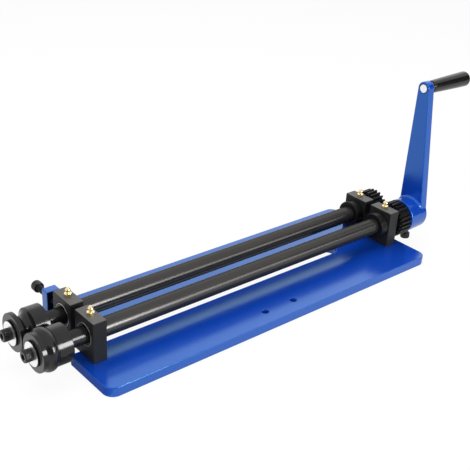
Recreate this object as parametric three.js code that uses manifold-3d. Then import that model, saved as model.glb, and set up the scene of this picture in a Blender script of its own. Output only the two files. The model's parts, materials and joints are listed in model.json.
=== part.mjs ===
// Hand cranked bead roller: a slotted frame plate carries two geared shafts side by side.
// Millimetres, +X along the shafts towards the crank, +Y across the plate, +Z up.
// The origin lies on the plate's underside, midway between the two stand bolt holes.
import * as THREE from 'three';
import { mergeVertices } from 'three/addons/utils/BufferGeometryUtils.js';
import Module from 'manifold-3d';

const wasm = await Module();
wasm.setup();

// Frame plate
const plateLength = 512;
const plateWidth = 180;
const plateThickness = 12;
const plateCornerRadius = 13;
const throatWidth = 24;
const throatLength = 422;
const throatMouthRadius = 3;
const standHoleDiameter = 9;
const standHoleSpacing = 46;
const standHoleEdgeDistance = 21;

// Gears, which also set how far apart the shafts lie
const gearModule = 2;
const gearTeeth = 23;
const gearFaceWidth = 20;
const gearHubDiameter = 32;
const gearHubLength = 4.5;
const gearBacklash = 0.45;
const gearRootClearance = 0.5;
const gearTipRelief = 0.7;

// Shafts, stepped down by one shoulder at each seat
const shaftDiameter = 22;
const shaftShoulder = 1;
const shaftHeight = 28;
const shaftChamfer = 1;
const dieOverhang = 24;

// Bearing blocks and their bushes
const blockThickness = 17;
const blockWidth = 37;
const blockHeight = 50;
const blockSetback = 12;
const blockChamfer = 1;
const bushWall = 3.5;
const oilHoleDiameter = 3;

// Forming dies
const dieDiameter = 44;
const dieLength = 36;
const dieEdgeChamfer = 0.5;
const formingPlaceShare = 1 / 3;
const beadHeight = 2.5;
const beadWidth = 12.5;
const grooveRadius = 6.6;
const dieWasherDiameter = 29;
const dieWasherThickness = 2.5;

// Keys, one size throughout
const keyWidth = 6;
const keyDepthShare = 0.5;

// Crank arm, spindle and grip
const crankRadius = 180.5;
const crankLean = 3.1;
const crankArmThickness = 12;
const crankArmHubRadius = 20.5;
const crankArmTipRadius = 9.2;
const crankBossFrontDiameter = 48;
const crankBossBackDiameter = 45;
const crankBossLength = 22.5;
const crankBossProud = 0.5;
const crankBossEdge = 2;
const crankWeldLeg = 4;
const crankWeldRise = 2.8;
const crankWeldHeight = 12;
const crankGearGap = 1.5;
const crankShaftEndRecess = 1;
const spindleRivetDiameter = 12;
const spindleCountersink = 0.8;
const spindleCollarDiameter = 15;
const spindleCollarLength = 2.5;
const spindleDiameter = 10;
const spindleDomeDiameter = 13;
const spindleDomeHeight = 3;
const gripLength = 78;
const gripRootDiameter = 17;
const gripMiddleDiameter = 19.5;
const gripTipDiameter = 21;
const gripEndRadius = 5;
const gripSwellShare = 0.6;

// Shaft collars and their grub screws
const collarDiameter = 35;
const collarLength = 12.5;
const grubDiameter = 6;
const grubSocketAcross = 3;
const grubSocketDepth = 3;

// Die adjuster
const bracketThickness = 12;
const bracketHeight = 40.5;
const bracketClearance = 13.5;
const adjusterDiameter = 8;
const adjusterHeadDiameter = 13;
const adjusterHeadLength = 9;
const adjusterSocketAcross = 6;
const adjusterSocketDepth = 4;
const adjusterExposedThread = 21;
const adjusterNoseDiameter = 6;
const adjusterNoseLength = 3.5;
const adjusterInwardTravel = 1.6;
const adjusterOutwardTravel = 3;
const adjusterHoleGap = 0.5;

// Screws that clamp the dies and the crank
const dieScrewDiameter = 8;
const dieScrewHeadDiameter = 14;
const dieScrewHeadLength = 9;
const dieScrewLength = 22;
const dieScrewSocketAcross = 6;
const dieScrewSocketDepth = 5;
const crankScrewDiameter = 8;
const crankScrewHeadDiameter = 13;
const crankScrewHeadLength = 8;
const crankScrewExposedThread = 6.3;
const crankScrewSetback = 4.2;
const crankScrewSocketAcross = 6;
const crankScrewSocketDepth = 4;

// Screws that hold the blocks to the plate from below
const blockScrewDiameter = 6;
const blockScrewHeadDiameter = 12;
const blockScrewReach = 10;
const blockScrewSocketAcross = 4;
const blockScrewSocketDepth = 2.5;
const blockScrewPitch = 15;
const blockScrewEdge = 6.5;
const rearScrewSpacing = 22;
const pivotScrewDiameter = 10;
const pivotScrewHeadDiameter = 18;
const pivotScrewSocketAcross = 6;
const pivotScrewSocketDepth = 3;
const clampScrewDiameter = 8;
const clampScrewHeadDiameter = 14;
const clampScrewHeadLength = 4.4;
const clampScrewSocketAcross = 5;
const clampScrewSocketDepth = 2.6;
const clampWasherDiameter = 16;
const clampWasherThickness = 1.6;

// Grease nipples
const nippleThreadDiameter = 6;
const nippleThreadLength = 5.5;
const nippleHexAcross = 8;
const nippleHexHeight = 3.6;
const nippleNeckDiameter = 4.4;
const nippleHeadDiameter = 6.6;
const nippleHeadHeight = 5.2;
const nippleNeckHeight = 1.8;
const nippleTipDiameter = 3;

// Circlip on the upper shaft's gear end
const circlipThickness = 1.2;
const circlipWidth = 2.4;
const circlipGrooveDepth = 0.6;
const circlipOpening = 60;

// Clearances
const runningGap = 0.15;
const seatGap = 0.1;
const endGap = 0.3;
const overrun = 4;

// Facets on round surfaces
const largeFacets = 32;
const roundFacets = 24;
const smallFacets = 12;
const cornerFacets = 5;
const arcSteps = 6;

// Derived sizes of the frame
const shaftSpacing = gearModule * gearTeeth;
const nearEdge = -standHoleEdgeDistance;
const farEdge = nearEdge + plateWidth;
const centreLine = nearEdge + plateWidth / 2;
const dieEnd = -plateLength / 2;
const crankEnd = plateLength / 2;
const throatEnd = dieEnd + throatLength;
const axisHeight = plateThickness + shaftHeight;
const lowerY = centreLine - shaftSpacing / 2;
const upperY = centreLine + shaftSpacing / 2;

// Derived places along the shafts
const frontBlockX = dieEnd + blockSetback;
const frontBlockBack = frontBlockX + blockThickness;
const rearBlockX = crankEnd - blockSetback - blockThickness;
const rearBlockBack = rearBlockX + blockThickness;
const frontBlockMiddle = frontBlockX + blockThickness / 2;
const rearBlockMiddle = rearBlockX + blockThickness / 2;
const dieBackX = frontBlockX - dieOverhang;
const dieFrontX = dieBackX - dieLength;
const gearX = rearBlockBack + endGap + gearHubLength;
const gearBackX = gearX + gearFaceWidth;
const crankBossX = gearBackX + crankGearGap;
const crankArmX = crankBossX + crankBossLength;
const crankArmBackX = crankArmX + crankArmThickness;

// Derived radii
const bodyRadius = shaftDiameter / 2;
const journalRadius = bodyRadius - shaftShoulder;
const seatRadius = journalRadius - shaftShoulder;
const bushBoreRadius = journalRadius + runningGap;
const bushRadius = bushBoreRadius + bushWall;
const blockBoreRadius = bushRadius + seatGap;
const keyDepth = keyWidth * keyDepthShare;

// Places of the block screws, measured from each block's own shaft
const blockOverhang = blockWidth / 2 - (shaftSpacing - throatWidth) / 2;
const frontScrewOuter = blockWidth / 2 - blockScrewEdge;
const frontScrewInner = frontScrewOuter - blockScrewPitch;
const clampScrewOffset = blockOverhang / 2;
const adjusterTravel = adjusterInwardTravel + adjusterOutwardTravel;

// Axis swaps: a shape drawn in XY and raised along Z, or turned about Y, is stood along another axis
const alongX = new THREE.Matrix4().makeBasis(
  new THREE.Vector3(0, 1, 0),
  new THREE.Vector3(0, 0, 1),
  new THREE.Vector3(1, 0, 0),
);
const alongY = new THREE.Matrix4().makeBasis(
  new THREE.Vector3(0, 0, 1),
  new THREE.Vector3(1, 0, 0),
  new THREE.Vector3(0, 1, 0),
);
const turnedAboutX = alongY;
const turnedAboutZ = alongX;

// A closed solid from a geometry, with shared corners merged and empty triangles left out
function solid(geometry, matrix) {
  const bare = geometry.clone();
  bare.deleteAttribute('normal');
  bare.deleteAttribute('uv');
  if (matrix) bare.applyMatrix4(matrix);
  const merged = mergeVertices(bare);
  const index = merged.index.array;
  const kept = [];
  for (let i = 0; i < index.length; i += 3) {
    const [a, b, c] = [index[i], index[i + 1], index[i + 2]];
    if (a !== b && b !== c && c !== a) kept.push(a, b, c);
  }
  const vertProperties = new Float32Array(merged.attributes.position.array);
  const made = new wasm.Manifold(
    new wasm.Mesh({ numProp: 3, vertProperties, triVerts: new Uint32Array(kept) }),
  );
  if (made.volume() > 0) return made;
  const flipped = [];
  for (let i = 0; i < kept.length; i += 3) flipped.push(kept[i], kept[i + 2], kept[i + 1]);
  return new wasm.Manifold(
    new wasm.Mesh({ numProp: 3, vertProperties, triVerts: new Uint32Array(flipped) }),
  );
}

function named(name, body, colour, roughness, metalness) {
  const { vertProperties, triVerts } = body.getMesh();
  const geometry = new THREE.BufferGeometry();
  geometry.setAttribute('position', new THREE.BufferAttribute(new Float32Array(vertProperties), 3));
  geometry.setIndex(new THREE.BufferAttribute(new Uint32Array(triVerts), 1));
  geometry.computeVertexNormals();
  const mesh = new THREE.Mesh(
    geometry,
    new THREE.MeshStandardMaterial({ color: colour, roughness, metalness }),
  );
  mesh.name = name;
  return mesh;
}

const finishes = {
  bluePaint: [0x0f46aa, 0.3, 0.1],
  darkSteel: [0x4a4a4c, 0.35, 0.8],
  blackOxide: [0x1b1b1d, 0.45, 0.6],
  blackBlock: [0x3a3838, 0.6, 0.4],
  zinc: [0xd8dadd, 0.3, 0.9],
  brass: [0xd9c27a, 0.25, 0.9],
  blackGrip: [0x161616, 0.25, 0.0],
};

function piece(name, body, finish) {
  return named(name, body, ...finishes[finish]);
}

// Plain shapes
function box(x, y, z) {
  return solid(new THREE.BoxGeometry(x, y, z));
}

function polygon(points) {
  return new THREE.Shape(points.map(([x, y]) => new THREE.Vector2(x, y)));
}

function raised(shape, depth, matrix, curveSegments = roundFacets / 4) {
  return solid(new THREE.ExtrudeGeometry(shape, { depth, bevelEnabled: false, curveSegments }), matrix);
}

function turned(profile, matrix, facets) {
  const points = profile.map(([radius, along]) => new THREE.Vector2(radius, along));
  return solid(new THREE.LatheGeometry(points, facets), matrix);
}

// A plain round bar or hole from one place to another along its axis
function bar(radius, from, to, matrix, facets = roundFacets) {
  return turned([[0, from], [radius, from], [radius, to], [0, to]], matrix, facets);
}

// A ring with its outer edges chamfered
function ring(inner, outer, from, to, chamfer, matrix, facets = roundFacets) {
  return turned([
    [inner, from],
    [outer - chamfer, from],
    [outer, from + chamfer],
    [outer, to - chamfer],
    [outer - chamfer, to],
    [inner, to],
    [inner, from],
  ], matrix, facets);
}

function hexagon(across) {
  const corner = across / Math.sqrt(3);
  const points = [];
  for (let i = 0; i < 6; i += 1) {
    const angle = (i * Math.PI) / 3;
    points.push([corner * Math.cos(angle), corner * Math.sin(angle)]);
  }
  return polygon(points);
}

function hexPrism(across, from, to, matrix) {
  return raised(hexagon(across), to - from, matrix).translate(alongOf(matrix, from));
}

// The vector that runs a given way along the axis that a matrix stands shapes on
function alongOf(matrix, distance) {
  if (matrix === alongX) return [distance, 0, 0];
  if (matrix === alongY) return [0, distance, 0];
  return [0, 0, distance];
}

// Screws stand along +Z, the shank from 0 upwards and the head below it
function socketScrew(diameter, headDiameter, headLength, length, socketAcross, socketDepth) {
  const radius = diameter / 2 - seatGap;
  const headRadius = headDiameter / 2;
  const edge = diameter / 12;
  const shape = turned([
    [0, -headLength],
    [headRadius - edge, -headLength],
    [headRadius, edge - headLength],
    [headRadius, 0],
    [radius, 0],
    [radius, length - edge],
    [radius - edge, length],
    [0, length],
  ], turnedAboutZ, smallFacets);
  return shape.subtract(hexPrism(socketAcross, -headLength - overrun, socketDepth - headLength));
}

// A flush screw stands with the flat of its head at 0 and its shank upwards
function flushScrew(diameter, headDiameter, length, socketAcross, socketDepth) {
  const radius = diameter / 2 - seatGap;
  const headRadius = headDiameter / 2 - seatGap;
  const lip = diameter / 12;
  const shape = turned([
    [0, 0],
    [headRadius, 0],
    [headRadius, lip],
    [radius, lip + headRadius - radius],
    [radius, length - lip],
    [radius - lip, length],
    [0, length],
  ], turnedAboutZ, smallFacets);
  return shape.subtract(hexPrism(socketAcross, -overrun, socketDepth));
}

// The room that a flush screw needs in the plate: its shank hole and its countersink
function flushHole(diameter, headDiameter) {
  const radius = diameter / 2;
  const headRadius = headDiameter / 2;
  const lip = diameter / 12 + seatGap;
  return turned([
    [0, -overrun],
    [headRadius, -overrun],
    [headRadius, lip],
    [radius, lip + headRadius - radius],
    [radius, plateThickness + overrun],
    [0, plateThickness + overrun],
  ], turnedAboutZ, smallFacets);
}

// Frame plate, with the throat open at the die end
function slotCutter(width, travel, from, to) {
  const shape = new THREE.Shape();
  const radius = width / 2;
  shape.absarc(0, travel / 2, radius, 0, Math.PI);
  shape.absarc(0, -travel / 2, radius, Math.PI, Math.PI * 2);
  return raised(shape, to - from).translate([0, 0, from]);
}

function plateOutline() {
  const half = throatWidth / 2;
  const corner = plateCornerRadius;
  const mouth = throatMouthRadius;
  const quarter = Math.PI / 2;
  const shape = new THREE.Shape();
  shape.absarc(crankEnd - corner, nearEdge + corner, corner, -quarter, 0);
  shape.absarc(crankEnd - corner, farEdge - corner, corner, 0, quarter);
  shape.absarc(dieEnd + corner, farEdge - corner, corner, quarter, 2 * quarter);
  shape.absarc(dieEnd + mouth, centreLine + half + mouth, mouth, 2 * quarter, 3 * quarter);
  shape.absarc(throatEnd - half, centreLine, half, quarter, -quarter, true);
  shape.absarc(dieEnd + mouth, centreLine - half - mouth, mouth, quarter, 2 * quarter);
  shape.absarc(dieEnd + corner, nearEdge + corner, corner, 2 * quarter, 3 * quarter);
  return shape;
}

// Every block screw in the plate: its place, and whether it sits in a front or a rear block
const lowerScrewPlaces = {
  lower_front_block_screw_1: [frontBlockMiddle, lowerY - frontScrewOuter],
  lower_front_block_screw_2: [frontBlockMiddle, lowerY - frontScrewInner],
  lower_rear_block_screw_1: [rearBlockMiddle, lowerY - rearScrewSpacing / 2],
  lower_rear_block_screw_2: [rearBlockMiddle, lowerY + rearScrewSpacing / 2],
};
const clampScrewY = upperY + clampScrewOffset;
const clampSeatZ = clampScrewHeadLength + clampWasherThickness + endGap;

function framePlate() {
  let plate = raised(plateOutline(), plateThickness, undefined, cornerFacets);
  for (const side of [-1, 1]) {
    const hole = bar(standHoleDiameter / 2, -overrun, plateThickness + overrun, turnedAboutZ, smallFacets);
    plate = plate.subtract(hole.translate([(side * standHoleSpacing) / 2, 0, 0]));
  }
  for (const [x, y] of Object.values(lowerScrewPlaces)) {
    plate = plate.subtract(flushHole(blockScrewDiameter, blockScrewHeadDiameter).translate([x, y, 0]));
  }
  const pivot = flushHole(pivotScrewDiameter + runningGap, pivotScrewHeadDiameter + runningGap);
  plate = plate.subtract(pivot.translate([rearBlockMiddle, upperY, 0]));
  const slotY = clampScrewY + (adjusterOutwardTravel - adjusterInwardTravel) / 2;
  const top = plateThickness + overrun;
  const narrow = slotCutter(clampScrewDiameter + endGap, adjusterTravel, -overrun, top);
  const wide = slotCutter(clampWasherDiameter + endGap, adjusterTravel, -overrun, clampSeatZ);
  plate = plate.subtract(narrow.translate([frontBlockMiddle, slotY, 0]));
  return plate.subtract(wide.translate([frontBlockMiddle, slotY, 0]));
}

// Bearing blocks stand above the plate's top at 0, the bore's axis at the shaft's height
function bearingBlock(foot) {
  const half = blockWidth / 2;
  const shape = polygon([
    [-half, foot],
    [half, foot],
    [half, blockHeight - blockChamfer],
    [half - blockChamfer, blockHeight],
    [blockChamfer - half, blockHeight],
    [-half, blockHeight - blockChamfer],
  ]);
  const block = raised(shape, blockThickness, alongX).translate([-blockThickness / 2, 0, 0]);
  const bore = bar(blockBoreRadius, -blockThickness, blockThickness, turnedAboutX);
  const threadFoot = blockHeight - nippleThreadLength - endGap;
  const threadRadius = nippleThreadDiameter / 2;
  const thread = bar(threadRadius, threadFoot, blockHeight + overrun, turnedAboutZ, smallFacets);
  const passage = bar(oilHoleDiameter / 2, shaftHeight, blockHeight, turnedAboutZ, smallFacets);
  return block.subtract(bore.translate([0, 0, shaftHeight])).subtract(thread).subtract(passage);
}

function tappedHole(diameter, depth) {
  return bar(diameter / 2, -overrun, depth + endGap, turnedAboutZ, smallFacets);
}

function lowerFrontBlock() {
  const hole = tappedHole(blockScrewDiameter, blockScrewReach);
  return bearingBlock(0)
    .subtract(hole.translate([0, -frontScrewOuter, 0]))
    .subtract(hole.translate([0, -frontScrewInner, 0]));
}

function lowerRearBlock() {
  const hole = tappedHole(blockScrewDiameter, blockScrewReach);
  return bearingBlock(0)
    .subtract(hole.translate([0, -rearScrewSpacing / 2, 0]))
    .subtract(hole.translate([0, rearScrewSpacing / 2, 0]));
}

// The upper blocks clear the plate by a hair, because they slide and swing on it. The front one
// takes its clamp screw from below and the adjuster's nose in its back
function upperFrontBlock() {
  const pocket = bar(
    adjusterNoseDiameter / 2 + endGap,
    blockWidth / 2 - adjusterNoseLength - endGap,
    blockWidth / 2 + overrun,
    undefined,
    smallFacets,
  );
  return bearingBlock(seatGap)
    .subtract(tappedHole(clampScrewDiameter, blockScrewReach).translate([0, clampScrewOffset, 0]))
    .subtract(pocket.translate([0, 0, shaftHeight]));
}

function upperRearBlock() {
  return bearingBlock(seatGap).subtract(tappedHole(pivotScrewDiameter, blockScrewReach));
}

// A plain bush fills its block's bore, with an oil hole under the grease nipple
function bush() {
  const half = blockThickness / 2;
  const sleeve = turned([
    [bushBoreRadius, -half],
    [bushRadius, -half],
    [bushRadius, half],
    [bushBoreRadius, half],
    [bushBoreRadius, -half],
  ], turnedAboutX, roundFacets);
  const hole = bar(oilHoleDiameter / 2, 0, bushRadius + overrun, turnedAboutZ, smallFacets);
  return sleeve.subtract(hole);
}

// A grease nipple stands with its hexagon's foot at 0 and its thread below
function greaseNipple() {
  const threadRadius = nippleThreadDiameter / 2 - seatGap;
  const neckRadius = nippleNeckDiameter / 2;
  const headRadius = nippleHeadDiameter / 2;
  const tipRadius = nippleTipDiameter / 2;
  const neckTop = nippleHexHeight + nippleNeckHeight;
  const headTop = neckTop + nippleHeadHeight;
  const middle = (neckTop + headTop) / 2;
  const stem = turned([
    [0, -nippleThreadLength],
    [threadRadius, -nippleThreadLength],
    [threadRadius, nippleHexHeight / 2],
    [neckRadius, nippleHexHeight / 2],
    [neckRadius, neckTop],
    [headRadius, (neckTop + middle) / 2],
    [headRadius, middle],
    [tipRadius, headTop],
    [0, headTop],
  ], turnedAboutZ, smallFacets);
  return stem.add(hexPrism(nippleHexAcross, 0, nippleHexHeight));
}

// Shafts lie along X at height 0, with the die seat first and the gear seat last
const dieKeyLength = dieLength / 2;
const gearKeyLength = gearFaceWidth - shaftShoulder * 2;
const dieSeatStart = dieFrontX + endGap;
const dieScrewHole = dieScrewLength + overrun;

function shaft(tail) {
  const boreRadius = dieScrewDiameter / 2;
  const holeFoot = dieSeatStart + dieScrewHole;
  const frontShoulder = frontBlockBack + endGap;
  const rearShoulder = rearBlockX - endGap;
  return turned([
    [0, holeFoot],
    [boreRadius, holeFoot],
    [boreRadius, dieSeatStart],
    [seatRadius - shaftChamfer, dieSeatStart],
    [seatRadius, dieSeatStart + shaftChamfer],
    [seatRadius, dieBackX],
    [journalRadius, dieBackX],
    [journalRadius, frontShoulder],
    [bodyRadius, frontShoulder],
    [bodyRadius, rearShoulder],
    [journalRadius, rearShoulder],
    ...tail,
  ], turnedAboutX, roundFacets);
}

function keySlot(length, middleX, radius) {
  const slot = box(length + endGap * 2, keyWidth + seatGap * 2, keyDepth * 2);
  return slot.translate([middleX, 0, radius]);
}

const dieKeyX = (dieFrontX + dieBackX) / 2;
const gearKeyX = (gearX + gearBackX) / 2;
const lowerShaftEnd = crankArmBackX - crankShaftEndRecess;
const circlipX = gearBackX + endGap;
const upperShaftEnd = circlipX + circlipThickness + endGap + shaftChamfer * 2;

function lowerShaft() {
  const crankSeatX = gearBackX + endGap;
  const body = shaft([
    [journalRadius, crankSeatX],
    [seatRadius, crankSeatX],
    [seatRadius, lowerShaftEnd - shaftChamfer],
    [seatRadius - shaftChamfer, lowerShaftEnd],
    [0, lowerShaftEnd],
  ]);
  return body
    .subtract(keySlot(dieKeyLength, dieKeyX, seatRadius))
    .subtract(keySlot(gearKeyLength, gearKeyX, journalRadius));
}

function upperShaft() {
  const necked = journalRadius - circlipGrooveDepth;
  const grooveEnd = circlipX + circlipThickness + seatGap;
  const body = shaft([
    [journalRadius, circlipX - seatGap],
    [necked, circlipX - seatGap],
    [necked, grooveEnd],
    [journalRadius, grooveEnd],
    [journalRadius, upperShaftEnd - shaftChamfer],
    [journalRadius - shaftChamfer, upperShaftEnd],
    [0, upperShaftEnd],
  ]);
  return body
    .subtract(keySlot(dieKeyLength, dieKeyX, seatRadius))
    .subtract(keySlot(gearKeyLength, gearKeyX, journalRadius));
}

function key(length) {
  return box(length, keyWidth, keyDepth * 2 - endGap);
}

// The keyway in a bore, cut as deep as the key stands out of its shaft
function keyWay(length, radius) {
  return box(length + overrun, keyWidth + seatGap * 2, keyDepth * 2).translate([0, 0, radius]);
}

// Dies lie along X from their front face at 0, with the bead or groove a third of the way back
const dieRadius = dieDiameter / 2;
const dieBore = seatRadius + seatGap;
const formingPlace = dieLength * formingPlaceShare;

// Points on an arc between two angles, about a centre given as along and radius
function arcPoints(along, radius, size, from, to, steps) {
  const points = [];
  for (let i = 0; i <= steps; i += 1) {
    const angle = from + ((to - from) * i) / steps;
    points.push([radius + size * Math.sin(angle), along - size * Math.cos(angle)]);
  }
  return points;
}

function die(middle) {
  const edge = dieEdgeChamfer;
  const body = turned([
    [dieBore, 0],
    [dieRadius - edge, 0],
    [dieRadius, edge],
    ...middle,
    [dieRadius, dieLength - edge],
    [dieRadius - edge, dieLength],
    [dieBore, dieLength],
    [dieBore, 0],
  ], turnedAboutX, largeFacets);
  return body.subtract(keyWay(dieLength * 2, seatRadius));
}

function lowerDie() {
  const arcRadius = (beadWidth ** 2 / 4 + beadHeight ** 2) / (2 * beadHeight);
  const half = Math.asin(beadWidth / (2 * arcRadius));
  const centre = dieRadius + beadHeight - arcRadius;
  const quarter = Math.PI / 2;
  return die(arcPoints(formingPlace, centre, arcRadius, quarter - half, quarter + half, arcSteps));
}

function upperDie() {
  return die(arcPoints(formingPlace, dieRadius, grooveRadius, 0, -Math.PI, arcSteps));
}

function dieWasher() {
  const bore = dieScrewDiameter / 2 + seatGap;
  return ring(bore, dieWasherDiameter / 2, -dieWasherThickness, 0, dieEdgeChamfer, turnedAboutX);
}

// The die screw lies along X with its head's seat at 0
function dieScrew() {
  const upright = socketScrew(
    dieScrewDiameter,
    dieScrewHeadDiameter,
    dieScrewHeadLength,
    dieScrewLength,
    dieScrewSocketAcross,
    dieScrewSocketDepth,
  );
  return upright.rotate([0, 90, 0]);
}

// Spur gear: involute flanks at a 20 degree pressure angle, thinned by half the backlash
function gearOutline(turn) {
  const pressure = Math.PI / 9;
  const pitchRadius = (gearModule * gearTeeth) / 2;
  const tipRadius = pitchRadius + gearModule - gearTipRelief;
  const rootRadius = pitchRadius - gearModule - gearRootClearance;
  const baseRadius = pitchRadius * Math.cos(pressure);
  const involute = (angle) => Math.tan(angle) - angle;
  const halfTooth = Math.PI / (2 * gearTeeth) - gearBacklash / (4 * pitchRadius);
  const halfAngle = (radius) => {
    const roll = Math.acos(Math.min(1, baseRadius / radius));
    return halfTooth + involute(pressure) - involute(roll);
  };
  const flank = [rootRadius, pitchRadius, tipRadius];
  const points = [];
  for (let tooth = 0; tooth < gearTeeth; tooth += 1) {
    const middle = turn + (tooth * 2 * Math.PI) / gearTeeth;
    const sides = [
      ...flank.map((radius) => [radius, -halfAngle(radius)]),
      ...flank.map((radius) => [radius, halfAngle(radius)]).reverse(),
    ];
    for (const [radius, angle] of sides) {
      points.push([radius * Math.cos(middle + angle), radius * Math.sin(middle + angle)]);
    }
  }
  return polygon(points);
}

function gear(turn) {
  const wheel = raised(gearOutline(turn), gearFaceWidth, alongX);
  const hub = bar(gearHubDiameter / 2, -gearHubLength, gearFaceWidth / 2, turnedAboutX);
  const bore = bar(journalRadius + seatGap, -gearFaceWidth, gearFaceWidth * 2, turnedAboutX);
  return wheel.add(hub).subtract(bore).subtract(keyWay(gearFaceWidth * 4, journalRadius));
}

function circlip() {
  const inner = journalRadius - circlipGrooveDepth + seatGap;
  const outer = inner + circlipWidth;
  const half = (circlipOpening * Math.PI) / 360;
  const shape = new THREE.Shape();
  shape.absarc(0, 0, outer, half, 2 * Math.PI - half);
  shape.absarc(0, 0, inner, 2 * Math.PI - half, half, true);
  return raised(shape, circlipThickness, alongX, smallFacets);
}

function collar() {
  const body = ring(
    bodyRadius + seatGap,
    collarDiameter / 2,
    -collarLength,
    0,
    shaftChamfer,
    turnedAboutX,
  );
  const hole = bar(grubDiameter / 2, -collarDiameter, 0, turnedAboutZ, smallFacets);
  return body.subtract(hole.translate([-collarLength / 2, 0, 0]));
}

// A grub screw hangs with its point at 0 and its socket below, out of sight of the operator
function grubScrew() {
  const length = collarDiameter / 2 - bodyRadius - endGap;
  const body = bar(grubDiameter / 2 - seatGap, -length, 0, turnedAboutZ, smallFacets);
  return body.subtract(hexPrism(grubSocketAcross, -length - overrun, grubSocketDepth - length));
}

// Crank: arm and boss are one welded piece, hub centre at 0, boss towards the gear. The boss
// narrows a little from the gear's end and passes through the arm, to stand proud of its back.
const crankBossBack = crankArmThickness + crankBossProud;
const crankBossTaper = (crankBossFrontDiameter - crankBossBackDiameter) / 2 / (crankBossLength + crankBossBack);

function crankBossRadiusAt(place) {
  return crankBossFrontDiameter / 2 - crankBossTaper * (place + crankBossLength);
}

const crankBossRadius = crankBossRadiusAt(-crankScrewSetback);

function armOutline() {
  const lean = Math.asin((crankArmHubRadius - crankArmTipRadius) / crankRadius);
  const shape = new THREE.Shape();
  shape.absarc(0, 0, crankArmHubRadius, Math.PI - lean, 2 * Math.PI + lean);
  shape.absarc(0, crankRadius, crankArmTipRadius, lean, Math.PI - lean);
  return shape;
}

function crankArm() {
  const arm = raised(armOutline(), crankArmThickness, alongX, smallFacets);
  const boss = turned([
    [0, -crankBossLength],
    [crankBossRadiusAt(-crankBossLength) - shaftChamfer, -crankBossLength],
    [crankBossRadiusAt(shaftChamfer - crankBossLength), shaftChamfer - crankBossLength],
    [crankBossRadiusAt(crankBossBack - crankBossEdge), crankBossBack - crankBossEdge],
    [crankBossRadiusAt(crankBossBack) - crankBossEdge, crankBossBack],
    [0, crankBossBack],
  ], turnedAboutX, largeFacets);
  const armFaceRadius = crankBossRadiusAt(0);
  const weldRing = turned([
    [0, -crankWeldLeg],
    [crankBossRadiusAt(-crankWeldLeg), -crankWeldLeg],
    [armFaceRadius + crankWeldRise * 0.7, -crankWeldLeg * 0.6],
    [armFaceRadius + crankWeldRise, 0],
    [armFaceRadius + crankWeldRise, crankWeldLeg / 2],
    [0, crankWeldLeg / 2],
  ], turnedAboutX, largeFacets);
  const above = box(crankBossFrontDiameter, crankBossFrontDiameter * 2, crankBossFrontDiameter)
    .translate([0, 0, crankWeldHeight + crankBossFrontDiameter / 2]);
  const weld = weldRing.intersect(above);
  const bore = bar(seatRadius + seatGap, -crankBossLength * 2, crankArmThickness * 2, turnedAboutX);
  const hole = bar(crankScrewDiameter / 2, -crankBossFrontDiameter, 0, turnedAboutZ, smallFacets);
  const rivetRadius = spindleRivetDiameter / 2 + seatGap;
  const eye = turned([
    [0, -overrun],
    [rivetRadius + spindleCountersink + overrun, -overrun],
    [rivetRadius, spindleCountersink],
    [rivetRadius, crankArmThickness + overrun],
    [0, crankArmThickness + overrun],
  ], turnedAboutX, roundFacets);
  return arm
    .add(boss)
    .add(weld)
    .subtract(bore)
    .subtract(hole.translate([-crankScrewSetback, 0, 0]))
    .subtract(eye.translate([0, 0, crankRadius]));
}

function crankSetScrew() {
  const length = crankBossRadius - seatRadius - endGap + crankScrewExposedThread;
  const upright = socketScrew(
    crankScrewDiameter,
    crankScrewHeadDiameter,
    crankScrewHeadLength,
    length,
    crankScrewSocketAcross,
    crankScrewSocketDepth,
  );
  return upright.translate([0, 0, -crankBossRadius - crankScrewExposedThread]);
}

// The spindle is riveted in the arm, and its dome keeps the grip on
const gripX = crankArmThickness + spindleCollarLength + endGap;
const domeX = gripX + gripLength + endGap;

function handleSpindle() {
  const domeRadius = spindleDomeDiameter / 2;
  return turned([
    [0, 0],
    [spindleRivetDiameter / 2, 0],
    [spindleRivetDiameter / 2, crankArmThickness + endGap],
    [spindleCollarDiameter / 2, crankArmThickness + endGap],
    [spindleCollarDiameter / 2, crankArmThickness + spindleCollarLength],
    [spindleDiameter / 2, crankArmThickness + spindleCollarLength],
    [spindleDiameter / 2, domeX],
    [domeRadius, domeX],
    [domeRadius, domeX + spindleDomeHeight / 3],
    [domeRadius * Math.cos(Math.PI / 4), domeX + (spindleDomeHeight * 5) / 6],
    [0, domeX + spindleDomeHeight],
  ], turnedAboutX, roundFacets);
}

function grip() {
  const bore = spindleDiameter / 2 + endGap;
  const tip = gripTipDiameter / 2;
  const middle = gripMiddleDiameter / 2;
  const root = gripRootDiameter / 2;
  const endX = gripLength - gripEndRadius;
  const quarter = Math.PI / 2;
  const end = arcPoints(endX, tip - gripEndRadius, gripEndRadius, quarter, Math.PI, arcSteps / 2);
  return turned([
    [bore, 0],
    [root - shaftChamfer, 0],
    [root, shaftChamfer],
    [middle, gripLength * gripSwellShare],
    ...end,
    [bore, gripLength],
    [bore, 0],
  ], turnedAboutX, roundFacets);
}

// Adjuster: an upright bracket behind the sliding block, and the screw through it
const bracketY = upperY + blockWidth / 2 + bracketClearance;
const bracketHoleZ = shaftHeight;

function adjusterBracket() {
  const shape = polygon([
    [0, -blockThickness / 2],
    [bracketHeight, -blockThickness / 2],
    [bracketHeight, blockThickness / 2],
    [0, blockThickness / 2],
  ]);
  const upright = raised(shape, bracketThickness, alongY);
  const holeRadius = adjusterDiameter / 2 + adjusterHoleGap;
  const hole = bar(holeRadius, -overrun, bracketThickness + overrun, undefined, smallFacets);
  return upright.subtract(hole.translate([0, 0, bracketHoleZ]));
}

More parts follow.
